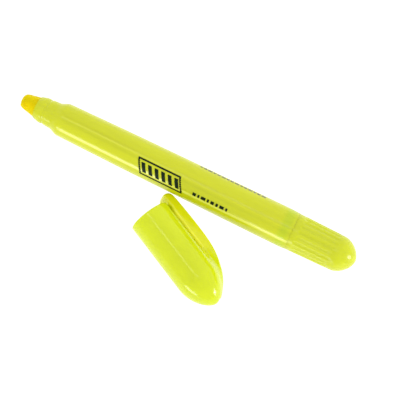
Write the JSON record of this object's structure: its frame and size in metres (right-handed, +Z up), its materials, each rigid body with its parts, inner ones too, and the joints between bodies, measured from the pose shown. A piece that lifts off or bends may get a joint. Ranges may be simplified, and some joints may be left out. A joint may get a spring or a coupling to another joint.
{
  "type": "twist-up gel highlighter",
  "caption": "Solid-ink highlighter whose stick is wound out of a round barrel by a ribbed end knob, with its separate clip cap lying beside it.",
  "frame": {"origin": "middle of the footprint of pen and cap, on the plane they lie on", "axes": "+X along the pen from nose to knob, +Z up"},
  "size_m": [0.1294, 0.044, 0.0147],
  "materials": {
    "barrel_plastic": "smooth moulded, slightly see-through",
    "knob_plastic": "smooth moulded",
    "cap_plastic": "smooth moulded",
    "gel_ink": "waxy solid ink",
    "white_plastic": "plain moulded",
    "drive_plastic": "plain moulded",
    "seal_plastic": "soft moulded",
    "ring_rubber": "matte"
  },
  "bodies": {
    "barrel": {"barrel": "barrel_plastic", "guide_bush": "white_plastic", "end_collar": "barrel_plastic"},
    "knob": {"knob": "knob_plastic", "drive_tube": "drive_plastic", "friction_ring": "ring_rubber"},
    "stick": {"gel_stick": "gel_ink", "stick_carrier": "white_plastic", "feed_screw": "white_plastic"},
    "cap": {"cap_shell": "cap_plastic", "cap_seal": "seal_plastic"}
  },
  "joints": [
    {"name": "knob_twist", "type": "hinge", "parent": "barrel", "child": "knob", "pos_m": [0.0411, 0.01523, 0.00682], "axis": [-1, 0, 0], "range_deg": [-576.5, 2268.5]},
    {"name": "stick_feed", "type": "slide", "parent": "barrel", "child": "stick", "axis": [-1, 0, 0], "range_m": [-0.008, 0.0315]},
    {"name": "cap_lift", "type": "slide", "parent": "barrel", "child": "cap", "axis": [-0.2207, -0.4486, 0.866], "range_m": [0, 0.06]}
  ],
  "couplings": [
    {"joint": "knob_twist", "follows": "stick_feed", "rad_per_m": 1256.6}
  ]
}
